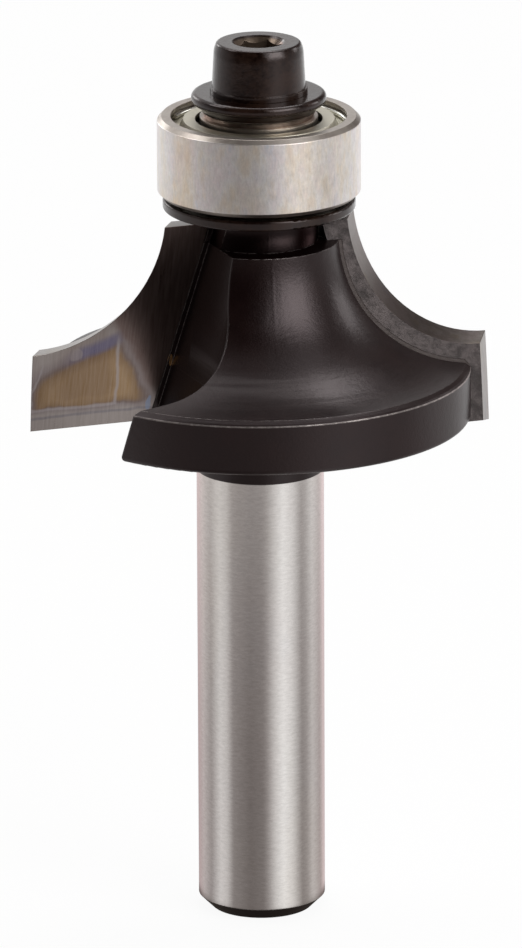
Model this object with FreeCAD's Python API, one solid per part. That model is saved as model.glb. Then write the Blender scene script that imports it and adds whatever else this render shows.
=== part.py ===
import FreeCAD, Part
import math
import os

# Round-over router bit: a two-flute cutter with brazed carbide tips, a ball-bearing guide and a round shank.
# All sizes are millimetres. Z runs up the shank towards the guide bearing, with 0 at the shank's end face.

# Shank
shank_diameter = 8.0
shank_length = 32.2
shank_end_chamfer = 0.8
shank_root_fillet = 1.0

# Cutting profile: a quarter round over a straight edge, guided by the bearing
cutting_radius = 8.2
straight_edge = 5.35
outer_edge_inset = 0.125
guide_diameter = 12.7

# Cutter body, turned in one piece with the shank; it clears the cutting profile all round
rim_inset = 1.205
rim_bottom_round = 0.35
rim_top_bevel_width = 0.38
rim_top_bevel_height = 0.3
cove_clearance = 0.88
cove_centre_in = 0.55
cove_centre_down = 0.46
wing_edge_break = 0.15
neck_diameter = 7.32
neck_above_wings = 2.05

# Carbide tips
tip_below_rim = 0.63
tip_top_gap = 0.68
tip_thickness = 1.83
tip_inner_top = 3.42
tip_inner_slant = 0.204
shear_degrees = 16.1
face_lead_at_top = 0.375
relief_inward = 1.076
relief_back = 1.963
relief_down = 0.218
braze_gap = 0.06
braze_proud = 0.2

# Chip gullets: an end mill, held parallel to the tip's inner edge, cuts a flat wall and rounds its far end
gullet_mill_diameter = 8.1
gullet_wall_inset = 0.4
gullet_wall_length = 5.4
gullet_run_below_rim = 0.6

# Guide bearing
bearing_bore = 4.7625
bearing_width = 4.978
bearing_chamfer = 0.28
bore_chamfer = 0.2
ball_diameter = 2.3
ball_count = 7
race_clearance = 0.04
land_offset = 0.685
outer_ring_wall = 0.85
seal_seat_depth = 0.95
seal_groove_depth = 0.2
seal_lip_height = 0.22
shield_thickness = 0.2
shield_running_gap = 0.3
shield_step_clearance = 0.07
shield_step_width = 0.26
shield_recess = 0.2
clip_wire = 0.34
clip_gap_degrees = 24.0
clip_gap_at_degrees = 155.0
cage_wall = 0.42
cage_height = 2.75
cage_pocket_clearance = 0.12

# Spigot that carries the bearing, and the screw that clamps it
spigot_clearance = 0.02
spigot_below_bearing_top = 0.3
screw_diameter = 3.0
screw_length = 8.0
screw_tip_bevel = 0.375
thread_clearance = 0.02
tap_run_out = 2.2
drill_point_degrees = 118.0
head_height = 3.21
head_top_diameter = 5.62
head_base_diameter = 5.84
head_shoulder_rise = 0.67
head_shoulder_draw = 0.15
head_edge_round = 0.2
head_flange_diameter = 6.08
head_flange_height = 0.35
hex_across_flats = 2.5
hex_depth = 1.6
hex_countersink_diameter = 3.3
hex_turn_degrees = -11.0

# Washer under the bearing and collar above it; both press on the inner ring only
washer_inset = 0.33
washer_thickness = 0.63
washer_edge_round = 0.14
shim_inset = 0.23
shim_height = 0.28
collar_diameter = 8.42
collar_rim_height = 0.7
collar_height = 1.51
collar_waist_diameter = 7.5
collar_foot_inset = 0.28
collar_edge_round = 0.3
collar_hole_clearance = 0.1

# How far a cutting tool or a trimming block runs past the surface that it opens
overshoot = 1.0

# Two places closer than this are the same place
touching = 0.001

# Heights along the bit that follow from the sizes above
rim_bottom = shank_length
tip_bottom = rim_bottom - tip_below_rim
tip_top = tip_bottom + straight_edge + cutting_radius
neck_top = tip_top + tip_top_gap
wing_top = neck_top - neck_above_wings
washer_top = neck_top + washer_thickness
bearing_bottom = washer_top + shim_height
bearing_top = bearing_bottom + bearing_width
bearing_middle = bearing_bottom + bearing_width / 2
spigot_top = bearing_top - spigot_below_bearing_top
collar_top = bearing_top + collar_height
head_top = collar_top + head_height
screw_tip = collar_top - screw_length

# Radii and angles that follow
shank_radius = shank_diameter / 2
neck_radius = neck_diameter / 2
guide_radius = guide_diameter / 2
cutting_centre_radius = guide_radius + cutting_radius
cutting_outer_radius = cutting_centre_radius - outer_edge_inset
rim_radius = cutting_outer_radius - rim_inset
rim_edge = rim_radius - rim_top_bevel_width
cove_radius = cutting_radius + cove_clearance
cove_centre_radius = cutting_centre_radius - cove_centre_in
cove_centre_height = tip_top - cove_centre_down
spigot_radius = bearing_bore / 2 - spigot_clearance
screw_radius = screw_diameter / 2
tapped_radius = screw_radius + thread_clearance
pitch_radius = (bearing_bore / 2 + guide_radius) / 2
inner_land_radius = pitch_radius - land_offset
outer_land_radius = pitch_radius + land_offset
seal_bore_radius = guide_radius - outer_ring_wall
seal_groove_radius = seal_bore_radius + seal_groove_depth
shear = math.radians(shear_degrees)
gullet_radius = gullet_mill_diameter / 2
ball_radius = ball_diameter / 2
race_radius = ball_radius + race_clearance
reach = 2 * cutting_outer_radius


def point(x, y, z):
    return FreeCAD.Vector(x, y, z)


ORIGIN = point(0, 0, 0)
UP = point(0, 0, 1)


def closed_face(*steps):
    """Flat face in the XZ half plane. A step is a corner (radius, height), or an arc as ((middle), (end))."""
    start = steps[0]
    last = start
    edges = []
    for step in steps[1:] + (start,):
        if isinstance(step[0], tuple):
            middle, end = step
            through = [point(corner[0], 0, corner[1]) for corner in (last, middle, end)]
            arc = Part.Arc(*through)
            edges.append(arc.toShape())
            last = end
        elif step != last:
            edges.append(Part.makeLine(point(last[0], 0, last[1]), point(step[0], 0, step[1])))
            last = step
    return Part.Face(Part.Wire(edges))


def turned(*steps):
    """Solid of revolution about Z."""
    return closed_face(*steps).revolve(ORIGIN, UP, 360)


def round_corner(centre_r, centre_z, radius, degrees_mid, degrees_end):
    """An arc step on a circle, by the directions of its middle and its end."""
    mid = math.radians(degrees_mid)
    end = math.radians(degrees_end)
    return ((centre_r + radius * math.cos(mid), centre_z + radius * math.sin(mid)),
            (centre_r + radius * math.cos(end), centre_z + radius * math.sin(end)))


def half_turn(shape):
    other = shape.copy()
    other.rotate(ORIGIN, UP, 180)
    return other


def face_y(z):
    """Where the right tip's cutting face stands in Y at a height: it leans by the shear angle."""
    return face_lead_at_top - (tip_top - z) * math.tan(shear)


def tip_inner_x(z):
    """Where a tip's inner edge stands in X at a height."""
    return tip_inner_top + (tip_top - z) * tip_inner_slant


# The normal of the right tip's cutting face points the way the bit turns
face_normal = point(0, math.cos(shear), -math.sin(shear))

# Directions of the left gullet: along its mill, away from its tip's face, and out of its flat wall
mill_lean = point(tip_inner_slant, -math.tan(shear), 1).normalize()
from_tip = point(0, -math.cos(shear), -math.sin(shear))
from_wall = from_tip.cross(mill_lean)
wall_foot = point(gullet_wall_inset - tip_inner_x(0), -face_y(0), 0)
mill_foot = wall_foot + from_tip * gullet_wall_length + from_wall * gullet_radius


def cove_arc(radius):
    """Start, middle and end of an arc about the cove's centre, from the rim's edge up to the wings' top."""
    out = math.pi + math.acos((cove_centre_radius - rim_edge) / radius)
    top = math.pi + math.asin((cove_centre_height - wing_top) / radius)
    return [(cove_centre_radius + radius * math.cos(angle), cove_centre_height + radius * math.sin(angle))
            for angle in (out, (out + top) / 2, top)]


def make_cutting_envelope():
    """The volume that the cutting edges sweep, turned from the moulding profile."""
    diagonal = cutting_radius * math.sqrt(0.5)
    arc_start = tip_top - math.sqrt(cutting_radius ** 2 - outer_edge_inset ** 2)
    return turned(
        (0, tip_bottom), (cutting_outer_radius, tip_bottom), (cutting_outer_radius, arc_start),
        ((cutting_centre_radius - diagonal, tip_top - diagonal), (guide_radius, tip_top)),
        (0, tip_top))


def leaning_block(corners, depth):
    """Straight block behind the right tip's face plane, from (x, z) corners on that plane."""
    on_face = [point(x, face_y(z), z) for x, z in corners]
    outline = Part.makePolygon(on_face + on_face[:1])
    return Part.Face(outline).extrude(face_normal * -depth)


def make_tip(cutting_envelope):
    """Carbide tip: a ground face, and edges relieved by drawing its outline back and inwards."""
    above = tip_top + tip_thickness
    sheet = [(0, tip_bottom - tip_thickness), (reach, tip_bottom - tip_thickness), (reach, above), (0, above)]
    on_face = [point(x, face_y(z), z) for x, z in sheet]
    face_sheet = Part.Face(Part.makePolygon(on_face + on_face[:1]))
    ground_outline = cutting_envelope.common(face_sheet).Faces[0]
    relief = point(-relief_inward, -relief_back, -relief_down)
    ground = ground_outline.extrude(relief)
    blank = leaning_block([(tip_inner_x(tip_bottom), tip_bottom), (reach, tip_bottom),
                           (reach, above), (tip_inner_x(above), above)], tip_thickness)
    return ground.common(blank).Solids[0]


def make_body_blank():
    """Shank, rim, hollow cove, neck and spigot in one turning."""
    cove_start, cove_middle, cove_end = cove_arc(cove_radius)
    root = shank_root_fillet
    low_round = rim_bottom_round
    return turned(
        (0, 0), (shank_radius - shank_end_chamfer, 0), (shank_radius, shank_end_chamfer),
        (shank_radius, rim_bottom - root),
        round_corner(shank_radius + root, rim_bottom - root, root, 135, 90),
        (rim_radius - low_round, rim_bottom),
        round_corner(rim_radius - low_round, rim_bottom + low_round, low_round, -45, 0),
        (rim_radius, cove_start[1] - rim_top_bevel_height), cove_start, (cove_middle, cove_end),
        (neck_radius, wing_top), (neck_radius, neck_top),
        (spigot_radius, neck_top), (spigot_radius, spigot_top), (0, spigot_top))


def make_gullet():
    """Slot of the left gullet: the left tip's face plane, a flat wall beside it and the right wing's back."""
    start = (rim_bottom - gullet_run_below_rim) / mill_lean.z
    length = (neck_top - rim_bottom) / mill_lean.z + gullet_mill_diameter
    beside_tip = wall_foot + mill_lean * start
    axis = mill_foot + mill_lean * start
    wall_end = axis - from_wall * gullet_radius
    back = axis + from_tip * gullet_radius
    turning = axis + (from_tip - from_wall) * (gullet_radius * math.sqrt(0.5))
    outer = from_wall * reach
    edges = [Part.makeLine(beside_tip + outer, beside_tip), Part.makeLine(beside_tip, wall_end),
             Part.Arc(wall_end, turning, back).toShape(), Part.makeLine(back, back + outer),
             Part.makeLine(back + outer, beside_tip + outer)]
    return Part.Face(Part.Wire(edges)).extrude(mill_lean * length)


def is_trailing_edge(edge):
    """Whether an edge runs along a gullet's wall above the rim's underside, on the side away from the tip."""
    middle = edge.valueAt((edge.FirstParameter + edge.LastParameter) / 2)
    if middle.z <= rim_bottom + touching or middle.z >= wing_top - touching:
        return False
    for turn in (1, -1):
        offset = point(turn * middle.x, turn * middle.y, middle.z) - mill_foot
        outward = offset.dot(from_wall)
        backward = offset.dot(from_tip)
        from_axis = math.hypot(min(outward, 0), backward)
        tangent_line = abs(outward) < touching
        if backward > touching and abs(from_axis - gullet_radius) < touching and not tangent_line:
            return True
    return False


def seat_corners(below, above):
    """Outline of the tip's seat on the face plane between two heights, a braze gap inside the tip."""
    return [(tip_inner_x(below) - braze_gap, below), (reach, below), (reach, above),
            (tip_inner_x(above) - braze_gap, above)]


def make_tip_seat():
    """Pocket that the right tip is brazed into, open at its outer side, top and bottom."""
    corners = seat_corners(tip_bottom - tip_thickness, neck_top + tip_thickness)
    behind = leaning_block(corners, tip_thickness + braze_gap)
    in_front = leaning_block(corners, -gullet_radius)
    return behind.fuse(in_front)


def make_screw_hole():
    point_height = tapped_radius / math.tan(math.radians(drill_point_degrees / 2))
    bottom = screw_tip - tap_run_out
    above = spigot_top + overshoot
    return turned((0, bottom - point_height), (tapped_radius, bottom), (tapped_radius, above), (0, above))


def make_body():
    body = make_body_blank()
    seat = make_tip_seat()
    gullet = make_gullet()
    for cut in (gullet, half_turn(gullet), seat, half_turn(seat), make_screw_hole()):
        body = body.cut(cut)
    worn = [edge for edge in body.Edges if is_trailing_edge(edge)]
    return body.makeFillet(wing_edge_break, worn).Solids[0]


def make_braze(tip):
    """Thin seam of filler metal between the right tip and its seat, a little proud of the cove."""
    corners = seat_corners(tip_bottom - tip_thickness, tip_top + tip_thickness)
    pocket = leaning_block(corners, tip_thickness + braze_gap)
    lowest = rim_bottom + rim_bottom_round
    start, middle, end = cove_arc(cove_radius - braze_proud)
    covered = turned(
        (0, lowest), (rim_radius, lowest), (rim_radius, cove_arc(cove_radius)[0][1] - rim_top_bevel_height),
        start, (middle, end), (0, wing_top))
    seam = pocket.common(covered).cut(tip)
    return max(seam.Solids, key=lambda solid: solid.Volume)


def make_lower_washer():
    r = guide_radius - washer_inset
    edge = washer_edge_round
    shim = inner_land_radius - shim_inset
    hole = spigot_radius + spigot_clearance
    return turned(
        (hole, neck_top), (r - edge, neck_top),
        round_corner(r - edge, neck_top + edge, edge, -45, 0),
        (r, washer_top - edge),
        round_corner(r - edge, washer_top - edge, edge, 45, 90),
        (shim, washer_top), (shim, bearing_bottom), (hole, bearing_bottom))


def race_arc(land, outward):
    """Arc of a ball groove between two lands, centred on the ball circle at the bearing's middle."""
    rise = math.sqrt(race_radius ** 2 - (land - pitch_radius) ** 2)
    ends = ((land, bearing_middle - rise), (land, bearing_middle + rise))
    bottom = (pitch_radius + outward * race_radius, bearing_middle)
    return ends, bottom


def make_outer_ring():
    r = guide_radius
    c = bearing_chamfer
    low, high = bearing_bottom, bearing_top
    seat_low, seat_high = low + seal_seat_depth, high - seal_seat_depth
    groove = seal_groove_radius
    lip = seal_lip_height
    (race_low, race_high), bottom = race_arc(outer_land_radius, 1)
    return turned(
        (r - c, low), (r, low + c), (r, high - c), (r - c, high),
        (seal_bore_radius, high), (seal_bore_radius, high - lip), (groove, high - lip), (groove, seat_high),
        (outer_land_radius, seat_high), race_high, (bottom, race_low),
        (outer_land_radius, seat_low), (groove, seat_low), (groove, low + lip),
        (seal_bore_radius, low + lip), (seal_bore_radius, low))


def make_inner_ring():
    bore = bearing_bore / 2
    c = bore_chamfer
    land = inner_land_radius
    (race_low, race_high), bottom = race_arc(land, -1)
    return turned(
        (bore + c, bearing_bottom), (land, bearing_bottom), race_low, (bottom, race_high),
        (land, bearing_top), (bore + c, bearing_top), (bore, bearing_top - c), (bore, bearing_bottom + c))


def make_ball(number):
    angle = 2 * math.pi * number / ball_count
    centre = point(pitch_radius * math.cos(angle), pitch_radius * math.sin(angle), bearing_middle)
    return Part.makeSphere(ball_radius, centre)


def make_cage():
    """Pressed ring that keeps the balls apart, with one round pocket for each."""
    half = cage_height / 2
    inner, outer = pitch_radius - cage_wall / 2, pitch_radius + cage_wall / 2
    ring = turned((inner, bearing_middle - half), (outer, bearing_middle - half),
                  (outer, bearing_middle + half), (inner, bearing_middle + half))
    for number in range(ball_count):
        angle = 2 * math.pi * number / ball_count
        outward = point(math.cos(angle), math.sin(angle), 0)
        start = point(0, 0, bearing_middle)
        ring = ring.cut(Part.makeCylinder(ball_radius + cage_pocket_clearance, guide_radius, start, outward))
    return ring.Solids[0]


def make_shield(side):
    """Dished steel shield seated in the outer ring; side is 1 for the top and -1 for the bottom."""
    thick = shield_thickness

    def at(depth):
        return bearing_middle + side * (bearing_width / 2 - depth)
    seat = at(seal_seat_depth)
    seat_face = at(seal_seat_depth - thick)
    plate_out = at(shield_recess)
    plate_in = at(shield_recess + thick)
    step_out = outer_land_radius - shield_step_clearance
    step_in = step_out - shield_step_width
    inner_edge = inner_land_radius + shield_running_gap
    return turned(
        (seal_groove_radius, seat), (seal_groove_radius, seat_face), (step_out, seat_face),
        (step_in, plate_out), (inner_edge, plate_out), (inner_edge, plate_in), (step_in - thick, plate_in),
        (step_out - thick, seat))


def make_clip(side):
    """Open wire ring that holds a shield in its groove."""
    height = bearing_middle + side * (bearing_width / 2 - seal_seat_depth + shield_thickness + clip_wire / 2)
    middle = seal_groove_radius - clip_wire / 2
    wire = Part.makeTorus(middle, clip_wire / 2, point(0, 0, height))
    gap = math.radians(clip_gap_degrees / 2)
    below = height - clip_wire
    across = reach * math.cos(gap)
    aside = reach * math.sin(gap)
    corners = [point(0, 0, below), point(across, aside, below), point(across, -aside, below)]
    wedge = Part.Face(Part.makePolygon(corners + corners[:1])).extrude(point(0, 0, 2 * clip_wire))
    wedge.rotate(ORIGIN, UP, clip_gap_at_degrees)
    return wire.cut(wedge).Solids[0]


def make_collar():
    rim = collar_diameter / 2
    edge = collar_edge_round
    hole = screw_radius + collar_hole_clearance
    rim_low = collar_top - collar_rim_height
    return turned(
        (hole, bearing_top), (inner_land_radius - collar_foot_inset, bearing_top),
        (collar_waist_diameter / 2, rim_low),
        (rim - edge, rim_low), round_corner(rim - edge, rim_low + edge, edge, -45, 0),
        (rim, collar_top - edge), round_corner(rim - edge, collar_top - edge, edge, 45, 90),
        (hole, collar_top))


def make_cap_screw():
    top = head_top_diameter / 2
    base = head_base_diameter / 2
    flange = head_flange_diameter / 2
    edge = head_edge_round
    bevel = screw_tip_bevel
    lean = 2 * math.atan(head_shoulder_draw / head_shoulder_rise)
    shoulder_radius = head_shoulder_rise / math.sin(lean)
    shoulder_end = head_top - edge * (1 - math.sin(lean))
    shoulder = shoulder_end - head_shoulder_rise
    edge_centre = top - head_shoulder_draw - edge * math.cos(lean)
    lean_degrees = math.degrees(lean)
    screw = turned(
        (0, screw_tip), (screw_radius - bevel, screw_tip), (screw_radius, screw_tip + bevel),
        (screw_radius, collar_top), (flange, collar_top), (flange, collar_top + head_flange_height),
        (base, collar_top + head_flange_height), (top, shoulder),
        round_corner(top - shoulder_radius, shoulder, shoulder_radius, lean_degrees / 2, lean_degrees),
        round_corner(edge_centre, head_top - edge, edge, 45 + lean_degrees / 2, 90), (0, head_top))
    corner = hex_across_flats / math.sqrt(3)
    turn = math.radians(hex_turn_degrees)
    ring = [point(corner * math.cos(turn + k * math.pi / 3), corner * math.sin(turn + k * math.pi / 3),
                  head_top - hex_depth) for k in range(6)]
    socket = Part.Face(Part.makePolygon(ring + ring[:1])).extrude(point(0, 0, hex_depth + overshoot))
    sink = hex_countersink_diameter / 2
    flat = hex_across_flats / 2
    cone_bottom = head_top - sink + flat
    above = head_top + overshoot
    countersink = turned((0, cone_bottom), (flat, cone_bottom), (sink, head_top), (sink, above), (0, above))
    return screw.cut(socket).cut(countersink).Solids[0]


def main():
    os.makedirs("parts", exist_ok=True)
    envelope = make_cutting_envelope()
    tip = make_tip(envelope)
    braze = make_braze(tip)
    pieces = {
        "cutter_body": make_body(),
        "carbide_tip_1": tip,
        "carbide_tip_2": half_turn(tip),
        "braze_seam_1": braze,
        "braze_seam_2": half_turn(braze),
        "lower_washer": make_lower_washer(),
        "bearing_outer_ring": make_outer_ring(),
        "bearing_inner_ring": make_inner_ring(),
        "bearing_cage": make_cage(),
        "bearing_shield_top": make_shield(1),
        "bearing_shield_bottom": make_shield(-1),
        "shield_clip_top": make_clip(1),
        "shield_clip_bottom": make_clip(-1),
        "dust_collar": make_collar(),
        "cap_screw": make_cap_screw(),
    }
    for number in range(ball_count):
        pieces["bearing_ball_%d" % (number + 1)] = make_ball(number)
    for name, shape in pieces.items():
        shape.exportStep("parts/%s.step" % name)
        print(name, "solids", len(shape.Solids), "valid", shape.isValid(), "volume", round(shape.Volume, 3))


main()
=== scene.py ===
# %% [markdown]
# # A round-over router bit in a small studio
#
# The bit stands on its shank. From the bottom up it has a ground steel shank, a black coated cutter body
# with two brazed carbide tips, a black washer, a ball-bearing guide, a collar and a socket-head screw. The
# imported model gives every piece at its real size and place, in metres. This lesson gives each one its
# finish.

# %% The frame
import bpy
import math
from mathutils import Matrix, Vector


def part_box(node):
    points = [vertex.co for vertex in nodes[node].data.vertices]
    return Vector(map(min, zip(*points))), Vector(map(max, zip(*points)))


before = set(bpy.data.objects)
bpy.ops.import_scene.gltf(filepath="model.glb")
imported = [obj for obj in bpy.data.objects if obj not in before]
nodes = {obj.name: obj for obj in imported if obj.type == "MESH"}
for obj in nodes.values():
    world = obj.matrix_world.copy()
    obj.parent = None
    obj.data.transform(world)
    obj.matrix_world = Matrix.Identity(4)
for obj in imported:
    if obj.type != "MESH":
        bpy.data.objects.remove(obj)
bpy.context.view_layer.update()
mm = 0.001
print("pieces in the frame:", len(nodes))

# %% [markdown]
# ## The camera
#
# A long lens looks down on the bit by about seventeen degrees. A long lens keeps the sides of the shank
# parallel, as product pictures like them. The camera is placed by its own position, by the direction that
# it looks in, and by a very small roll, because the bit in the picture isn't quite upright.

# %% Camera
camera_place = Vector((-0.20878, -0.60856, 0.22258))
camera_forward = Vector((0.31072, 0.90549, -0.28897)).normalized()
camera_roll = math.radians(-0.2304)
level_right = camera_forward.cross(Vector((0, 0, 1))).normalized()
level_up = level_right.cross(camera_forward)
camera_right = math.cos(camera_roll) * level_right + math.sin(camera_roll) * level_up
camera_up = -math.sin(camera_roll) * level_right + math.cos(camera_roll) * level_up
camera_data = bpy.data.cameras.new("camera")
camera_data.lens = 406.45
camera_data.sensor_width = 36.0
camera_data.clip_start = 0.05
camera_data.clip_end = 20.0
camera = bpy.data.objects.new("camera", camera_data)
turn = Matrix((camera_right, camera_up, -camera_forward)).transposed().to_4x4()
camera.matrix_world = Matrix.Translation(camera_place) @ turn
bpy.context.scene.collection.objects.link(camera)
bpy.context.scene.camera = camera
print("the camera stands", round(camera_place.length, 3), "m from the shank's end")

# %% [markdown]
# ## Readings and node trees
#
# A finish is a small tree of nodes, and each node gives a reading: a number or a colour that changes over
# the surface. A tree could be wired node by node, but long sums are hard to follow that way. Here a reading
# is a small class on which plus, minus, times and the like work, so that a mask is written as the sum that
# it is.

# %% Readings


class Reading:
    """What a node puts out. Where it is a number, it can be added, multiplied and so on, like any number."""

    def __init__(self, tree, socket):
        self.tree = tree
        self.socket = socket

    def __add__(self, other):
        return calc(self.tree, "ADD", self, other)

    def __sub__(self, other):
        return calc(self.tree, "SUBTRACT", self, other)

    def __rsub__(self, other):
        return calc(self.tree, "SUBTRACT", other, self)

    def __mul__(self, other):
        return calc(self.tree, "MULTIPLY", self, other)

    def __truediv__(self, other):
        return calc(self.tree, "DIVIDE", self, other)

    def __rtruediv__(self, other):
        return calc(self.tree, "DIVIDE", other, self)

    def __pow__(self, other):
        return calc(self.tree, "POWER", self, other)

    def __abs__(self):
        return calc(self.tree, "ABSOLUTE", self)


print("a reading knows how to be added, multiplied and so on")

# %% Nodes and sums


def fill(tree, socket, value):
    """Links an input to a reading, or sets it to a number or a colour."""
    if isinstance(value, Reading):
        tree.links.new(value.socket, socket)
    elif socket.type == "RGBA":
        socket.default_value = (*value, 1) if isinstance(value, tuple) else (value, value, value, 1)
    else:
        socket.default_value = value


def add(tree, kind, **inputs):
    """Adds a node. An input is named as in Blender, with underscores for spaces, or by _ and its number."""
    node = tree.nodes.new(kind)
    for name, value in inputs.items():
        fill(tree, node.inputs[int(name[1:]) if name[1:].isdigit() else name.replace("_", " ")], value)
    return node


def calc(tree, operation, *values, clamp=False):
    """Arithmetic on one, two or three numbers or readings."""
    node = tree.nodes.new("ShaderNodeMath")
    node.operation = operation
    node.use_clamp = clamp
    for socket, value in zip(node.inputs, values):
        fill(tree, socket, value)
    return Reading(tree, node.outputs[0])


print("nodes can be added and filled")

# %% [markdown]
# More helpers turn a reading into a mask or a colour. A step is a smooth rise or fall between two
# values. A band is a step up and a step down again, and most marks on this bit are bands of height or of
# angle.

# %% Masks


def step(tree, value, low, high):
    """Rises smoothly from 0 to 1 between two values, or falls when the first is the larger."""
    node = add(tree, "ShaderNodeMapRange", Value=value, From_Min=low, From_Max=high)
    node.interpolation_type = "SMOOTHSTEP"
    return Reading(tree, node.outputs[0])


def band(tree, value, start, full, fading, end):
    """Is 1 from full to fading, and falls smoothly to 0 at start and at end."""
    return step(tree, value, start, full) * step(tree, value, end, fading)


print("masks are ready")

# %% Colours


def ramp(tree, value, *stops):
    """A colour for a value from 0 to 1; each stop is a place and a grey level or a colour."""
    node = add(tree, "ShaderNodeValToRGB", Fac=value)
    elements = node.color_ramp.elements
    while len(elements) < len(stops):
        elements.new(0.5)
    for element, (place_on_ramp, level) in zip(elements, stops):
        element.position = place_on_ramp
        element.color = (level, level, level, 1) if isinstance(level, (int, float)) else (*level, 1)
    return Reading(tree, node.outputs["Color"])


def mix(tree, factor, first, second, how="MIX"):
    """Mixes two colours, or two numbers, by a factor."""
    node = tree.nodes.new("ShaderNodeMix")
    node.data_type = "RGBA"
    node.blend_type = how
    for number, value in ((0, factor), (6, first), (7, second)):
        fill(tree, node.inputs[number], value)
    return Reading(tree, node.outputs[2])


print("colours are ready")

# %% Places and clouds


def here(tree):
    """The place on the object, in metres."""
    return Reading(tree, tree.nodes.new("ShaderNodeTexCoord").outputs["Object"])


def parts(tree, vector):
    """The x, y and z of a vector."""
    return [Reading(tree, output) for output in add(tree, "ShaderNodeSeparateXYZ", Vector=vector).outputs]


def from_axis(tree, x, y):
    """Distance from the bit's axis."""
    return calc(tree, "SQRT", x ** 2 + y ** 2)


def scaled(tree, vector, x, y, z):
    """A vector with each part multiplied by its own number."""
    factors = add(tree, "ShaderNodeCombineXYZ", X=x, Y=y, Z=z)
    node = add(tree, "ShaderNodeVectorMath", _0=vector, _1=Reading(tree, factors.outputs[0]))
    node.operation = "MULTIPLY"
    return Reading(tree, node.outputs[0])


def noise(tree, vector, scale, detail=2.0, roughness=0.5):
    """Cloudy values around a half; the scale is in clouds a metre."""
    node = add(tree, "ShaderNodeTexNoise", Vector=vector, Scale=scale, Detail=detail, Roughness=roughness)
    return Reading(tree, node.outputs[0])


print("places and clouds are ready")

# %% [markdown]
# ## The room
#
# Polished steel shows the room, so the room is half of the finish. It is white behind the bit and dark
# where the camera stands. Its tones are given as grey levels round the horizon, in four rings one above the
# other, and the height of a direction chooses between them. The camera itself sees plain white there.

# %% Room tones
front_angle = math.radians(-108.94)


def around(*tones):
    """Stops of a ramp round the horizon from pairs of degrees and a tone. Dark tones are warmer."""
    return [(degrees / 360 + 0.5, (tone, tone ** 1.07, tone ** 1.09)) for degrees, tone in tones]


edge_tones = around((-180, 1.1), (-130, 0.8), (-90, 0.45), (-60, 0.08), (-3, 0.06), (20, 0.30),
                    (45, 0.80), (75, 0.50), (110, 0.60), (150, 0.95), (180, 1.1))
low_tones = around((-180, 1.0), (-130, 0.75), (-80, 0.40), (-58, 0.05), (-10, 0.03), (10, 0.05), (28, 0.25),
                   (75, 0.45), (110, 0.45), (140, 0.22), (168, 0.24), (180, 1.0))
middle_tones = around((-180, 0.75), (-150, 0.75), (-100, 0.25), (-60, 0.04), (-10, 0.02), (15, 0.04),
                      (60, 0.22), (101, 0.12), (120, 0.42), (148, 0.08), (168, 0.18), (180, 0.75))
high_tones = around((-180, 1.4), (-150, 1.4), (-125, 0.6), (-100, 0.25), (-75, 0.05), (-10, 0.06), (25, 0.15),
                    (55, 0.45), (85, 1.2), (110, 0.9), (150, 1.1), (180, 1.4))
print("room tones:", len(edge_tones) + len(low_tones) + len(middle_tones) + len(high_tones))

# %% [markdown]
# The world reads the direction of a ray. Its height is the z of that direction, so 0 is level and 1 is
# straight up, and each ring of tones hands over to the next between two such heights.

# %% Room
edge_to_low = (-0.02, 0.08)
low_to_middle = (0.15, 0.36)
middle_to_high = (0.76, 0.90)


def share_round(tree, x, y):
    """Share of a full turn from the back, through the left: 0.5 is the front, where the camera stands."""
    turned = (calc(tree, "ARCTAN2", y, x) - front_angle) / (2 * math.pi)
    return calc(tree, "WRAP", turned, 0.5, -0.5) + 0.5


def two_faced(tree, kind, to_mirrors, to_camera):
    """Ends a tree with one shader for the mirrors on the bit, and another for the camera itself."""
    path = tree.nodes.new("ShaderNodeLightPath")
    shown = tree.nodes.new("ShaderNodeMixShader")
    tree.links.new(path.outputs["Is Camera Ray"], shown.inputs["Fac"])
    tree.links.new(to_mirrors.outputs[0], shown.inputs[1])
    tree.links.new(to_camera.outputs[0], shown.inputs[2])
    tree.links.new(shown.outputs[0], tree.nodes.new(kind).inputs["Surface"])


world = bpy.data.worlds.new("studio")
world.use_nodes = True
bpy.context.scene.world = world
tree = world.node_tree
tree.nodes.clear()
direction = Reading(tree, tree.nodes.new("ShaderNodeTexCoord").outputs["Generated"])
look_x, look_y, look_z = parts(tree, direction)
share = share_round(tree, look_x, look_y)
upper = mix(tree, step(tree, look_z, *middle_to_high), ramp(tree, share, *middle_tones),
            ramp(tree, share, *high_tones))
above = mix(tree, step(tree, look_z, *low_to_middle), ramp(tree, share, *low_tones), upper)
room = mix(tree, step(tree, look_z, *edge_to_low), ramp(tree, share, *edge_tones), above)
room_light = add(tree, "ShaderNodeBackground", Color=room, Strength=1.0)
plain_white = add(tree, "ShaderNodeBackground", Color=(1.0, 1.0, 1.0), Strength=1.0)
two_faced(tree, "ShaderNodeOutputWorld", room_light, plain_white)
print("the room has", len(tree.nodes), "nodes")
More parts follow.
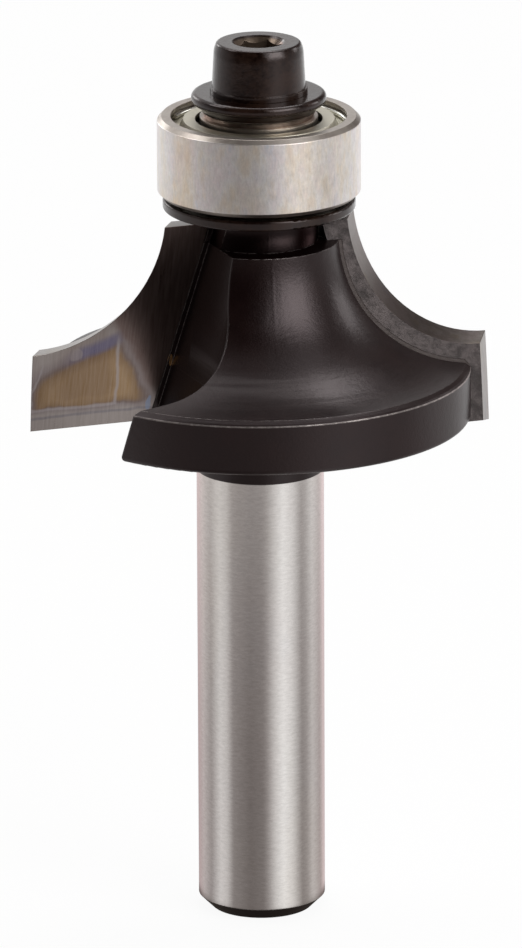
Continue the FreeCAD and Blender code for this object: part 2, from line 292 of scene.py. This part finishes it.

# %% [markdown]
# ## The floor
#
# The floor is a pale plane under the shank. The camera sees it almost white, with a part of its own shading
# left so that the bit keeps a soft shadow. A mirror sees a painted glow with the room's tones in it instead:
# painted shade darker near the bit and towards the camera, and a painted contact shadow right at the shank.
# A tone belongs to the direction of a ray that left the shank's side, so the angle of a place near the shank
# is led forward by the angle between that ray and the line from the axis.

# %% Floor tones
near_floor_tones = around((-180, 0.50), (-150, 0.54), (-131, 0.60), (-104, 0.37), (-80, 0.77), (-66, 0.66),
                          (-53, 0.29), (-20, 0.19), (4, 0.23), (12, 0.36), (26, 0.74), (41, 1.0), (57, 0.82),
                          (79, 0.31), (91, 0.37), (107, 0.63), (134, 0.46), (154, 0.74), (180, 0.60))
far_floor_tones = around((-180, 1.1), (-148, 1.0), (-120, 0.83), (-93, 0.76), (-70, 0.62), (-45, 0.52),
                         (-3, 0.50), (9, 0.54), (25, 0.66), (41, 0.95), (60, 0.82), (80, 0.58), (105, 0.95),
                         (128, 0.86), (150, 1.1), (180, 1.1))
painted_contact_shadow_tone = (0.10, 0.085, 0.075)
print("floor tones:", len(near_floor_tones) + len(far_floor_tones))

# %% Floor
floor_half = 3.0
floor_mesh = bpy.data.meshes.new("floor")
floor_corners = [(-floor_half, -floor_half, 0), (floor_half, -floor_half, 0), (floor_half, floor_half, 0),
                 (-floor_half, floor_half, 0)]
floor_mesh.from_pydata(floor_corners, [], [(0, 1, 2, 3)])
floor = bpy.data.objects.new("floor", floor_mesh)
bpy.context.scene.collection.objects.link(floor)
floor_finish = bpy.data.materials.new("white_floor")
floor_finish.use_nodes = True
floor_mesh.materials.append(floor_finish)
print("the floor is", 2 * floor_half, "m wide")

# %% Finish of the floor
shank_radius = 4.0 * mm
contact_shadow_fades = (6.8 * mm, 4.6 * mm)
near_to_far = (20 * mm, 190 * mm)
far_to_edge = (240 * mm, 360 * mm)
white_share = 0.93
tree = floor_finish.node_tree
tree.nodes.clear()
x, y, z = parts(tree, here(tree))
from_bit = from_axis(tree, x, y)
near = shank_radius / from_bit
share = share_round(tree, x, y)
half_turn = (share - 0.5) * math.pi
first_lead = near * calc(tree, "SINE", half_turn)
lead = near * calc(tree, "SINE", first_lead * 0.5 + half_turn)
share = lead / (2 * math.pi) + share
# Painted shade: near the bit the floor's glow takes the darker near tones.
tone = mix(tree, step(tree, from_bit, *near_to_far), ramp(tree, share, *near_floor_tones),
           ramp(tree, share, *far_floor_tones))
tone = mix(tree, step(tree, from_bit, *far_to_edge), tone, ramp(tree, share, *edge_tones))
# Painted contact shadow: right at the shank the floor's glow turns dark.
tone = mix(tree, step(tree, from_bit, *contact_shadow_fades), tone, painted_contact_shadow_tone)
painted_floor_glow = add(tree, "ShaderNodeEmission", Color=tone, Strength=1.0)
paper = add(tree, "ShaderNodeBsdfPrincipled", Base_Color=(0.88, 0.88, 0.88), Roughness=0.7)
plain_white = add(tree, "ShaderNodeEmission", Color=(1.0, 1.0, 1.0), Strength=1.0)
shadowed = add(tree, "ShaderNodeMixShader", Fac=white_share)
tree.links.new(paper.outputs[0], shadowed.inputs[1])
tree.links.new(plain_white.outputs[0], shadowed.inputs[2])
two_faced(tree, "ShaderNodeOutputMaterial", painted_floor_glow, shadowed)
print("the floor's finish has", len(tree.nodes), "nodes")

# %% [markdown]
# ## The lamps
#
# The soft lights are area lamps. Each is placed by its angle from the front, its height angle and its
# distance, and faces the cutter. The tall one on the right draws the long highlights on the black cove, the
# two over the back light the cove from behind, and the ones on the left light its other side.

# %% Lamps
lamps_aim = Vector((0, 0, 0.04))


def soft_light(name, degrees_round, degrees_up, distance, width, height, brightness):
    """A rectangular lamp that faces the bit, in degrees and metres. Its power is brightness by area by pi."""
    data = bpy.data.lights.new(name, "AREA")
    data.shape = "RECTANGLE"
    data.size = width
    data.size_y = height
    data.energy = brightness * width * height * math.pi
    lamp = bpy.data.objects.new(name, data)
    angle = front_angle + math.radians(degrees_round)
    rise = math.radians(degrees_up)
    outward = Vector((math.cos(angle) * math.cos(rise), math.sin(angle) * math.cos(rise), math.sin(rise)))
    lamp.location = lamps_aim + distance * outward
    lamp.rotation_euler = (-outward).to_track_quat("-Z", "Y").to_euler()
    lamp.visible_camera = False
    bpy.context.scene.collection.objects.link(lamp)
    print(name, "gives", round(data.energy, 3), "W")


soft_light("tall_right_light", 46, 30, 0.50, 0.44, 0.44, 1.9)
soft_light("right_light_core", 47, 29, 0.49, 0.26, 0.26, 2.6)
soft_light("back_top_light", 154, 62, 0.55, 0.23, 0.20, 3.3)
soft_light("right_back_light", 117, 18, 0.50, 0.16, 0.18, 2.2)
soft_light("far_top_light", -170, 62, 0.55, 0.26, 0.22, 2.5)
soft_light("left_top_light", -106, 49, 0.55, 0.20, 0.18, 3.4)
soft_light("left_back_light", -147, 18, 0.55, 0.15, 0.15, 3.0)

# %% [markdown]
# ## Shared effects
#
# Several finishes need the same marks: the rings that turning leaves round the axis, the small dimples of a
# sprayed coat, the coloured bloom of heat and oil, and worn edges. Each effect is a node group with named
# inputs, made once and placed in each finish with its own values.

# %% Group helpers


def new_group(name, inputs, outputs):
    """An empty node group: the group, a reading of each input, and the sockets that its results go to."""
    group = bpy.data.node_groups.new(name, "ShaderNodeTree")
    for label, number in inputs:
        socket = group.interface.new_socket(label, in_out="INPUT", socket_type="NodeSocketFloat")
        socket.default_value = number
    for label, kind in outputs:
        group.interface.new_socket(label, in_out="OUTPUT", socket_type=kind)
    source = group.nodes.new("NodeGroupInput")
    given = [Reading(group, source.outputs[label]) for label, number in inputs]
    return group, given, group.nodes.new("NodeGroupOutput").inputs


def place(tree, group, **inputs):
    """Places a node group in a tree and gives its outputs by name."""
    node = tree.nodes.new("ShaderNodeGroup")
    node.node_tree = group
    for name, value in inputs.items():
        fill(tree, node.inputs[name.replace("_", " ")], value)
    return {output.name: Reading(tree, output) for output in node.outputs}


print("group helpers are ready")

# %% [markdown]
# A turning tool leaves rings, and they are clouds that are stretched flat: the pattern barely changes along
# x and y but quickly along z. A sprayed coat is small dimples on larger swells.

# %% Turning rings and coat dimples
height_output = [("Height", "NodeSocketFloat")]
turning_rings, given, result = new_group("turning_rings", [("Rings a metre", 2000.0)], height_output)
flat_place = scaled(turning_rings, here(turning_rings), 0.03, 0.03, 1.0)
fill(turning_rings, result["Height"], noise(turning_rings, flat_place, given[0]))

coat_dimples, given, result = new_group("coat_dimples", [("Dimples a metre", 4500.0)], height_output)
dimple = noise(coat_dimples, here(coat_dimples), given[0])
swell = noise(coat_dimples, here(coat_dimples), given[0] * 0.3, 1.0)
fill(coat_dimples, result["Height"], dimple + swell * 1.2)
print("groups:", len(bpy.data.node_groups))

# %% [markdown]
# Heat and old oil leave patches that turn from bluish, through clear, to straw and brown. One cloud pattern
# runs along those colours, so that neighbouring patches always follow that order, as real temper colours
# do.

# %% Heat bloom
bloom_inputs = [("Clouds a metre", 260.0), ("Strength", 0.5), ("Upright", 0.35)]
heat_bloom, given, result = new_group("heat_bloom", bloom_inputs, [("Tint", "NodeSocketColor")])
clouds_a_metre, strength, upright = given
stretched = scaled(heat_bloom, here(heat_bloom), 1.0, 1.0, upright)
cloud = noise(heat_bloom, stretched, clouds_a_metre, 4.0, 0.55)
tint = ramp(heat_bloom, cloud, (0.28, (0.80, 0.86, 1.0)), (0.40, (1.0, 0.93, 0.95)), (0.50, (1.0, 1.0, 1.0)),
            (0.60, (1.0, 0.93, 0.82)), (0.74, (0.93, 0.78, 0.62)))
fill(heat_bloom, result["Tint"], mix(heat_bloom, strength, (1.0, 1.0, 1.0), tint))
print("groups:", len(bpy.data.node_groups))

# %% [markdown]
# The Bevel node leans the shading over an edge as if it were rounded. Where that leaning differs from the
# face's own direction there is an edge, and specks of noise choose where the edge is worn.

# %% Worn edges
edge_inputs = [("Width", 0.08 * mm), ("Specks a metre", 3000.0), ("Amount", 0.5)]
edge_outputs = [("Worn", "NodeSocketFloat"), ("Rounded", "NodeSocketVector")]
worn_edge, (width, specks_a_metre, amount), result = new_group("worn_edge", edge_inputs, edge_outputs)
rounding = add(worn_edge, "ShaderNodeBevel", Radius=width)
rounding.samples = 6
rounded = Reading(worn_edge, rounding.outputs[0])
straight = Reading(worn_edge, worn_edge.nodes.new("ShaderNodeNewGeometry").outputs["Normal"])
likeness = add(worn_edge, "ShaderNodeVectorMath", _0=rounded, _1=straight)
likeness.operation = "DOT_PRODUCT"
edge = step(worn_edge, Reading(worn_edge, likeness.outputs["Value"]), 0.995, 0.93)
speck = noise(worn_edge, here(worn_edge), specks_a_metre, 3.0, 0.7)
reach = 0.72 - amount * 0.4
fill(worn_edge, result["Worn"], edge * step(worn_edge, speck, reach, reach + 0.08))
fill(worn_edge, result["Rounded"], rounded)
print("groups:", len(bpy.data.node_groups))

# %% [markdown]
# ## The cutter: black coat and ground shank
#
# The cutter body is one piece of steel. Its head is coated black and its shank is ground bright, so one
# finish holds both, with a border just under the rim and a dark ring at the end chamfer. Masks of height
# and radius tell the two apart; two materials on one piece would need a cut in its mesh.

# %% Finish helpers


def new_finish(name):
    """An empty finish with a Principled shader: the material, its node tree and the shader's inputs."""
    material = bpy.data.materials.new(name)
    material.use_nodes = True
    tree = material.node_tree
    tree.nodes.clear()
    shader = tree.nodes.new("ShaderNodeBsdfPrincipled")
    tree.links.new(shader.outputs[0], tree.nodes.new("ShaderNodeOutputMaterial").inputs["Surface"])
    return material, tree, shader.inputs


def dent(tree, height, depth, normal=None):
    """A bump from heights between 0 and 1, with its depth in metres."""
    node = add(tree, "ShaderNodeBump", Height=height, Distance=depth, Strength=1.0)
    if normal is not None:
        fill(tree, node.inputs["Normal"], normal)
    return Reading(tree, node.outputs[0])


print("finish helpers are ready")

# %% Where the cutter is coated
coat_border = 28.86 * mm
coat_fade = 0.045 * mm
coat_wave = 0.05 * mm
chamfer_top = 0.80 * mm
chamfer_fade = 0.05 * mm
cutter_finish, tree, shader = new_finish("coated_cutter")
x, y, z = parts(tree, here(tree))
radius = from_axis(tree, x, y)
angle = calc(tree, "ARCTAN2", y, x)
clouds = noise(tree, here(tree), 350.0, 3.0, 0.6)
bare = step(tree, clouds * coat_wave + z, coat_border + coat_fade, coat_border)
bare = bare * step(tree, z, chamfer_top - chamfer_fade, chamfer_top + chamfer_fade)
coated = 1.0 - bare
print("the coat starts", coat_border, "m up")

# %% [markdown]
# The coat has rubbed off along the rim's upper edge, in specks, and on the trailing edges of the two
# gullets. These edges are painted lighter, which is worn coat and a painted highlight along them too; on the
# rim's edge half of the line is unbroken painted highlight. A trailing edge is told from a leading one by the
# slope y / x of its place, which half a turn leaves as it is. On the left, low in the cove, a broad band is
# painted lighter grey in streaks over its turning rings: worn coat and a painted sheen in one.

# %% Worn coat
rim_radius = 13.22 * mm
bevel_foot = 35.36 * mm
bevel_blend = 35.5 * mm
edges = place(tree, worn_edge, Width=0.09 * mm, Specks_a_metre=2500.0, Amount=0.7)
from_rim_edge = abs(radius - rim_radius) + abs(z - bevel_foot)
fine_specks = noise(tree, here(tree), 2600.0, 4.0, 0.75)
rim_specks = step(tree, clouds * 0.4 + fine_specks, 0.66, 0.80)
# The rim's line: an unbroken painted highlight with worn specks on it.
rim_wear_and_highlight = step(tree, from_rim_edge, 0.10 * mm, 0.03 * mm) * (rim_specks * 0.5 + 0.5)
trailing = step(tree, y / x, 0.3, 0.8)
worn_and_painted_highlight = calc(tree, "MAXIMUM", edges["Worn"] * (trailing * 0.65 + 0.25), rim_wear_and_highlight * 0.8) * coated
rings = place(tree, turning_rings, Rings_a_metre=2860.0)["Height"]
# Worn coat and painted sheen: a lighter grey band low in the cove, in streaks along the turning rings.
rubbed_and_painted_sheen = band(tree, z, 35.9 * mm, 36.6 * mm, 36.9 * mm, 37.6 * mm)
rubbed_and_painted_sheen = rubbed_and_painted_sheen * step(tree, angle, math.radians(-78), math.radians(-100))
rubbed_and_painted_sheen = rubbed_and_painted_sheen * (step(tree, rings, 0.40, 0.60) * 0.65 + 0.35)
print("worn places are masked")

# %% [markdown]
# Hot filler metal has run out of the seam and left one small copper drop on the gullet's wall. It is an
# oval on the side of the wall, set by its distance from the middle plane and its height, so each gullet has
# one.

# %% Copper drop
copper = (0.62, 0.36, 0.15)
drop_height = 35.68 * mm
drop_side = 5.09 * mm
drop_half_width = 0.10 * mm
drop_half_height = 0.42 * mm
wall_near = 1.9 * mm
wall_far = 2.6 * mm
drop_oval = ((abs(x) - drop_side) / drop_half_width) ** 2 + ((z - drop_height) / drop_half_height) ** 2
drop = step(tree, clouds * 0.6 + drop_oval, 1.5, 1.0)
drop = drop * band(tree, abs(y), wall_near - 0.2 * mm, wall_near, wall_far, wall_far + 0.15 * mm)
print("the drop sits", drop_height, "m up")

# %% [markdown]
# The coat is close to black and a little red. Ground steel is bright, with a grain that runs round the
# shank. The neck between the washer and the wings is given as a dark metal, which mirrors far less than the
# gloss of a coat does: painted shade under the washer, darkest on the right.

# %% Colours of the cutter
wing_top = 43.75 * mm
neck_reach = 5.4 * mm
black = mix(tree, step(tree, clouds, 0.35, 0.65), (0.0042, 0.0009, 0.0008), (0.0068, 0.0020, 0.0017))
# The band low in the cove is painted lighter grey: worn coat and a painted sheen.
black = mix(tree, rubbed_and_painted_sheen, black, (0.044, 0.037, 0.037))
grain = noise(tree, scaled(tree, here(tree), 0.35, 0.35, 1.0), 7000.0, 3.0, 0.7)
ground = mix(tree, grain, (0.60, 0.575, 0.555), (0.90, 0.875, 0.85))
stained = place(tree, heat_bloom, Clouds_a_metre=180.0, Strength=0.12, Upright=0.4)
ground = mix(tree, 1.0, ground, stained["Tint"], "MULTIPLY")
# Worn edges are painted light grey: bare metal and a painted highlight along them.
colour = mix(tree, worn_and_painted_highlight, mix(tree, bare, black, ground), (0.42, 0.38, 0.365))
fill(tree, shader["Base Color"], mix(tree, drop, colour, copper))
in_neck = step(tree, z, wing_top - 0.02 * mm, wing_top + 0.03 * mm)
in_neck = in_neck * step(tree, radius, neck_reach + 0.2 * mm, neck_reach)
# Painted shade: the neck under the washer is a dark metal, darkest on the right.
painted_neck_shade = in_neck * (step(tree, angle, math.radians(-76), math.radians(-62)) * 0.36 + 0.62)
metal = calc(tree, "MAXIMUM", calc(tree, "MAXIMUM", bare, painted_neck_shade), calc(tree, "MAXIMUM", drop, worn_and_painted_highlight * 0.8))
fill(tree, shader["Metallic"], metal)
shader["Specular Tint"].default_value = (1.0, 0.85, 0.865, 1)
print("cutter colours are set")

# %% [markdown]
# Gloss follows the same masks. The coat is a little duller in its clouds, and dullest low in the cove on
# the left.

# %% Gloss of the cutter
dull_side = step(tree, angle, math.radians(-82), math.radians(-106))
dull_band = band(tree, z, bevel_foot, bevel_blend, 37.4 * mm, 39.2 * mm) * dull_side
coat_roughness = dull_band * 0.15 + (clouds * 0.10 + 0.26)
fill(tree, shader["Roughness"], mix(tree, bare, coat_roughness, grain * 0.10 + 0.10))
print("cutter gloss is set")

# %% [markdown]
# The relief is a chain of bumps, each leaning on the one before it: dimples of the coat, grooves of
# grinding, rings of turning low in the cove, and one faint upright crease. The last bump hollows the neck
# under the washer, as the turning tool's round nose did.

# %% Relief of the cutter
lower_cove = 37.6 * mm
crease_angle = math.radians(-100.7)
neck_hollow_top = 45.1 * mm
dimples = place(tree, coat_dimples, Dimples_a_metre=7500.0)["Height"]
turned_zone = band(tree, z, bevel_foot, bevel_blend, lower_cove - 1.4 * mm, lower_cove)
crease = step(tree, abs(angle - (clouds * 0.03 + crease_angle)), 0.030, 0.0)
crease = crease * step(tree, z, 38.5 * mm, 40.5 * mm)
hollow = calc(tree, "DIVIDE", neck_hollow_top - z, neck_hollow_top - wing_top, clamp=True) ** 2
normal = dent(tree, dimples * coated, 0.007 * mm, edges["Rounded"])
normal = dent(tree, grain * bare, 0.0012 * mm, normal)
normal = dent(tree, rings * turned_zone, 0.042 * mm, normal)
normal = dent(tree, crease, 0.003 * mm, normal)
fill(tree, shader["Normal"], dent(tree, hollow, 0.52 * mm, normal))
print("cutter finish has", len(tree.nodes), "nodes")

# %% [markdown]
# ## Carbide tips
#
# A tip's cutting face is ground, which leaves fine upright lines, and the heat of brazing leaves temper
# colours on it. Its back keeps the rough grey skin of the sintered blank. The finish tells the two apart by
# the direction that the surface faces. The second tip is the first turned by half a turn, so the sign of x
# turns the test with it.

# %% Sides of a tip
shear = math.radians(16.1)
carbide_finish, tree, shader = new_finish("ground_carbide")
x, y, z = parts(tree, here(tree))
half = calc(tree, "SIGN", x)
facing = parts(tree, Reading(tree, tree.nodes.new("ShaderNodeNewGeometry").outputs["Normal"]))
towards = half * (facing[1] * math.cos(shear) - half * facing[2] * math.sin(shear))
on_face = step(tree, towards, 0.90, 0.97)
on_back = step(tree, towards, -0.90, -0.97)
upright = noise(tree, scaled(tree, here(tree), 1.0, 0.06, 0.06), 7500.0, 2.0, 0.6)
soft = noise(tree, here(tree), 330.0, 3.0, 0.55)
rough_skin = noise(tree, here(tree), 1900.0, 5.0, 0.75)
print("the tips lean", round(math.degrees(shear), 1), "degrees")

# %% [markdown]
# The temper colours are easiest to set in millimetres: across is the distance from the middle plane and up
# is the height, both warped a little by a cloud so that no border is straight. The hot patch is what lies
# inside four lines, and the distance inside them runs through the colours from grey, over brown, to straw.

# %% Hot patch
warp = (soft - 0.5) * 1.5
across = abs(x) / mm + warp
up = z / mm - warp
from_top = 41.2 - across * 0.43 - up
from_inner = across - (up * 0.48 - 9.5)
from_bottom = (up - 33.05) * 2.2
from_outer = 13.85 - across
heat = calc(tree, "SMOOTH_MIN", calc(tree, "SMOOTH_MIN", from_top, from_inner, 0.6),
            calc(tree, "SMOOTH_MIN", from_bottom, from_outer, 0.6), 1.4)
face = ramp(tree, heat * (1 / 3) + 0.5, (0.20, (0.36, 0.32, 0.305)), (0.40, (0.27, 0.23, 0.23)),
            (0.50, (0.19, 0.14, 0.125)), (0.62, (0.27, 0.172, 0.092)), (0.85, (0.37, 0.245, 0.132)))
browned = band(tree, across, 8.5, 9.4, 11.6, 13.4) * step(tree, up, 33.1, 33.8)
face = mix(tree, browned * 0.32, face, (0.10, 0.045, 0.025))
blued = step(tree, abs(from_top + 0.30), 0.75, 0.15) * band(tree, across, 7.6, 9.0, 10.6, 12.6)
face = mix(tree, blued * 0.92, face, (0.145, 0.130, 0.215))
print("the hot patch is on the face")

# %% [markdown]
# Flux has left pale lines: an upright one that turns outwards at the foot of the patch, and one up its
# outer side. Smoke darkens the face towards the top and towards the seam. A dark wavy line, a pale spot and
# a bluish one finish it.

# %% Lines, smoke and spots


def line(tree, distance, reach, full=0.03):
    """A thin line where a distance, in millimetres, is near 0."""
    return step(tree, abs(distance), reach, full)


def oval(tree, across, up, centre_across, centre_up, half_across, half_up):
    """A soft oval mark that fades out at its edge."""
    away = ((across - centre_across) / half_across) ** 2 + ((up - centre_up) / half_up) ** 2
    return step(tree, calc(tree, "SQRT", away), 1.15, 0.75)


calm = warp * 0.6
corner = calc(tree, "MINIMUM", across - calm - 8.6, up - 33.0 + calm)
pale_line = line(tree, corner, 0.16) * step(tree, up, 38.3, 37.0)
face = mix(tree, pale_line * 0.6, face, (0.44, 0.40, 0.41))
outer_line = line(tree, across + calm - (up * -0.12 + 18.0), 0.14) * band(tree, up, 32.8, 33.2, 35.6, 36.4)
face = mix(tree, outer_line * 0.5, face, (0.42, 0.39, 0.40))
smoked_top = step(tree, warp * 1.5 + up, 38.4, 41.4)
smoked_side = step(tree, from_inner, -0.05, -0.80) * step(tree, up, 32.9, 34.2)
face = mix(tree, calc(tree, "MAXIMUM", smoked_top, smoked_side) * 0.88, face, (0.18, 0.115, 0.102))
face = mix(tree, line(tree, warp * 1.4 + up - 32.45, 0.16, 0.02) * 0.55, face, (0.16, 0.155, 0.19))
face = mix(tree, oval(tree, across, up, 11.4, 36.7, 0.44, 0.44) * 0.45, face, (0.36, 0.31, 0.29))
face = mix(tree, oval(tree, across, up, 6.3, 32.8, 0.16, 0.5) * 0.65, face, (0.24, 0.33, 0.50))
face = mix(tree, 0.20, face, ramp(tree, upright, (0.3, (0.08, 0.07, 0.06)), (0.7, (0.42, 0.38, 0.36))))
print("the face has", len(tree.nodes), "nodes so far")

# %% [markdown]
# The narrow ground lands beside the cutting edge are bright with brown bloom, and the back is dull skin
# with a rough grain. The lines of grinding show only on the face.

# %% Finish of the tips
skin_patches = step(tree, rough_skin * 0.6 + soft * 0.5, 0.42, 0.66)
skin = mix(tree, skin_patches, (0.024, 0.017, 0.016), (0.098, 0.080, 0.078))
relieved = place(tree, heat_bloom, Clouds_a_metre=420.0, Strength=1.0, Upright=0.7)
lands = mix(tree, step(tree, z, 40 * mm, 36 * mm), (0.15, 0.125, 0.115), (0.25, 0.225, 0.21))
lands = mix(tree, 1.0, lands, relieved["Tint"], "MULTIPLY")
lands = mix(tree, step(tree, rough_skin, 0.42, 0.62) * 0.35, lands, (0.09, 0.065, 0.05))
fill(tree, shader["Base Color"], mix(tree, on_back, mix(tree, on_face, lands, face), skin))
fill(tree, shader["Metallic"], mix(tree, on_back, 1.0, 0.35))
ground_roughness = mix(tree, on_face, 0.30, upright * 0.12 + 0.24)
fill(tree, shader["Roughness"], mix(tree, on_back, ground_roughness, 0.52))
edges = place(tree, worn_edge, Width=0.05 * mm, Specks_a_metre=3000.0, Amount=0.5)
normal = dent(tree, upright * on_face, 0.0015 * mm, edges["Rounded"])
fill(tree, shader["Normal"], dent(tree, rough_skin * on_back, 0.07 * mm, normal))
print("carbide finish has", len(tree.nodes), "nodes")

# %% [markdown]
# ## Braze
#
# The filler metal stands a little proud of the seam as a soft bead. The black coat covers most of it, and
# copper shows only beside the drop on the wall, where the coat missed it.

# %% Finish of the braze
braze_finish, tree, shader = new_finish("braze")
x, y, z = parts(tree, here(tree))
smeared = noise(tree, here(tree), 2200.0, 3.0, 0.6)
shows = oval(tree, abs(x), z, 5.08 * mm, drop_height, 0.22 * mm, 0.5 * mm)
covered = mix(tree, smeared, (0.005, 0.0025, 0.002), (0.018, 0.010, 0.008))
fill(tree, shader["Base Color"], mix(tree, shows, covered, copper))
fill(tree, shader["Metallic"], shows * 0.95)
fill(tree, shader["Roughness"], smeared * 0.2 + 0.34)
shader["Specular Tint"].default_value = (1.0, 0.88, 0.85, 1)
edges = place(tree, worn_edge, Width=0.14 * mm, Specks_a_metre=2500.0, Amount=0.0)
fill(tree, shader["Normal"], dent(tree, smeared, 0.03 * mm, edges["Rounded"]))
print("braze finish has", len(tree.nodes), "nodes")

# %% [markdown]
# ## Bearing steel
#
# The rings are hardened and ground to a satin shine. Handling has left straw and bluish bloom on the
# outside, in upright smears, and three broader smears stand at angles of their own. The chamfers and the
# flat top are smoother and darker, with brown specks.

# %% Bloom on the rings
ring_finish, tree, shader = new_finish("satin_bearing_steel")
x, y, z = parts(tree, here(tree))
radius = from_axis(tree, x, y)
angle = calc(tree, "ARCTAN2", y, x)
streak = noise(tree, scaled(tree, here(tree), 1.0, 1.0, 0.3), 6500.0, 4.0, 0.8)
blotch = noise(tree, here(tree), 1500.0, 5.0, 0.75)
wobbly_angle = (blotch - 0.5) * 0.25 + angle
broad = place(tree, heat_bloom, Clouds_a_metre=230.0, Strength=0.6, Upright=0.6)
smear = place(tree, heat_bloom, Clouds_a_metre=1500.0, Strength=0.5, Upright=0.4)
tint = mix(tree, 1.0, broad["Tint"], smear["Tint"], "MULTIPLY")
smears = [(-157.0, 8.0, 0.8, (1.0, 0.93, 0.83)), (-115.0, 12.0, 0.7, (0.94, 0.97, 1.0)),
          (-86.0, 7.0, 0.6, (1.0, 0.93, 0.85))]
for degrees, half_width, strength, stain in smears:
    aside = abs(wobbly_angle - math.radians(degrees))
    smeared = step(tree, aside, math.radians(half_width * 1.5), math.radians(half_width * 0.5))
    tint = mix(tree, smeared * strength, tint, mix(tree, 1.0, tint, stain, "MULTIPLY"))
print("smears on the ring:", len(smears))

# %% Finish of the rings
outside_radius = 6.34 * mm
outside = step(tree, radius, outside_radius - 0.05 * mm, outside_radius)
lightness = calc(tree, "ADD", streak, blotch * 0.6 - 0.25, clamp=True)
side_steel = mix(tree, lightness, (0.50, 0.485, 0.475), (1.0, 0.975, 0.955))
side_steel = mix(tree, 1.0, side_steel, tint, "MULTIPLY")
top_steel = mix(tree, step(tree, blotch, 0.40, 0.62), (0.44, 0.40, 0.36), (0.385, 0.34, 0.305))
fill(tree, shader["Base Color"], mix(tree, outside, top_steel, side_steel))
shader["Metallic"].default_value = 1.0
fill(tree, shader["Roughness"], mix(tree, outside, 0.34, streak * 0.25 + 0.24))
edges = place(tree, worn_edge, Width=0.05 * mm, Specks_a_metre=3000.0, Amount=0.5)
fill(tree, shader["Normal"], dent(tree, streak, 0.0025 * mm, edges["Rounded"]))
print("ring finish has", len(tree.nodes), "nodes")

# %% [markdown]
# The shields and the cage are pressed from plated strip, which is duller and a little green. The clips are
# bright spring wire.

# %% Finishes of the shields and the clips
shield_finish, tree, shader = new_finish("plated_strip")
dull = noise(tree, here(tree), 1200.0, 4.0, 0.6)
fill(tree, shader["Base Color"], mix(tree, dull, (0.43, 0.405, 0.33), (0.67, 0.64, 0.54)))
shader["Metallic"].default_value = 1.0
fill(tree, shader["Roughness"], dull * 0.25 + 0.28)
fill(tree, shader["Normal"], dent(tree, dull, 0.008 * mm))

wire_finish, tree, shader = new_finish("spring_wire")
drawn = noise(tree, here(tree), 2500.0, 2.0, 0.5)
fill(tree, shader["Base Color"], mix(tree, drawn, (0.60, 0.60, 0.54), (0.80, 0.80, 0.74)))
shader["Metallic"].default_value = 1.0
fill(tree, shader["Roughness"], drawn * 0.12 + 0.14)
print("finishes so far:", len(bpy.data.materials))

# %% [markdown]
# ## Black oxide
#
# The washer, the collar and the screw are blackened steel with a film of oil. The film pools and thins, so
# the gloss changes from place to place, and brown shows through where it is thin. A key has rubbed the
# screw's socket, and the collar's foot, which stands on the bearing's inner ring, is bare brown steel.

# %% Bare places of the blackened pieces
bearing_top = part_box("bearing_inner_ring")[1][2]
screw_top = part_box("cap_screw")[1][2]
foot_height = 0.34 * mm
foot_radius = 4.2 * mm
socket_radius = 1.52 * mm
oxide_finish, tree, shader = new_finish("black_oxide")
x, y, z = parts(tree, here(tree))
radius = from_axis(tree, x, y)
grit = noise(tree, here(tree), 3600.0, 4.0, 0.7)
edges = place(tree, worn_edge, Width=0.07 * mm, Specks_a_metre=2600.0, Amount=0.4)
socket_deep = screw_top - 2.8 * mm
socket_mouth = screw_top - 0.21 * mm
in_socket = band(tree, z, socket_deep - 0.1 * mm, socket_deep, socket_mouth, socket_mouth + 0.16 * mm)
in_socket = in_socket * step(tree, radius, socket_radius + 0.1 * mm, socket_radius)
foot = band(tree, z, bearing_top - 0.02 * mm, bearing_top, bearing_top + foot_height,
            bearing_top + foot_height + 0.08 * mm)
foot = foot * step(tree, radius, foot_radius + 0.1 * mm, foot_radius)
# Worn edges are painted lighter: worn metal, and a painted highlight along them as well.
rubbed_and_painted_sheen = calc(tree, "MAXIMUM", edges["Worn"] * 0.35, in_socket * 0.7)
print("the screw ends", round(screw_top, 6), "m up, and the bearing", round(bearing_top, 6), "m up")

# %% Finish of the blackened pieces
film = noise(tree, here(tree), 420.0, 4.0, 0.65)
rings = place(tree, turning_rings, Rings_a_metre=1540.0)["Height"]
brown = step(tree, film * 0.7 + grit * 0.4, 0.42, 0.66)
black = mix(tree, brown, (0.0036, 0.0012, 0.0008), (0.0200, 0.0098, 0.0062))
colour = mix(tree, rubbed_and_painted_sheen, black, mix(tree, grit, (0.08, 0.055, 0.035), (0.28, 0.22, 0.165)))
foot_steel = mix(tree, grit, (0.40, 0.33, 0.28), (0.66, 0.57, 0.50))
fill(tree, shader["Base Color"], mix(tree, foot, colour, foot_steel))
fill(tree, shader["Metallic"], calc(tree, "MAXIMUM", foot, rubbed_and_painted_sheen * 0.9))
fill(tree, shader["Roughness"], film * grit * 0.5 + 0.06)
shader["Specular Tint"].default_value = (1.0, 0.88, 0.875, 1)
normal = dent(tree, rings, 0.004 * mm, edges["Rounded"])
fill(tree, shader["Normal"], dent(tree, grit, 0.009 * mm, normal))
print("oxide finish has", len(tree.nodes), "nodes")

# %% [markdown]
# ## Dressing the pieces
#
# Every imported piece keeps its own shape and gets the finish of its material. A piece is matched by the
# start of its name, and the longer starts come first, so that the shields don't get the finish of the
# rings.

# %% Finishes on the pieces
finish_of = {"cutter_body": cutter_finish, "carbide_tip": carbide_finish, "braze_seam": braze_finish,
             "bearing_cage": shield_finish, "bearing_shield": shield_finish, "shield_clip": wire_finish,
             "bearing": ring_finish, "lower_washer": oxide_finish, "dust_collar": oxide_finish,
             "cap_screw": oxide_finish}
for name, piece in nodes.items():
    kind = next(start for start in finish_of if name.startswith(start))
    piece.data.materials.clear()
    piece.data.materials.append(finish_of[kind])
print("dressed", len(nodes), "pieces")

# %% [markdown]
# ## Colour
#
# The view stays at plain Standard, so that a colour in a finish comes out as it is written.

# %% Finish
bpy.context.scene.view_settings.view_transform = "Standard"
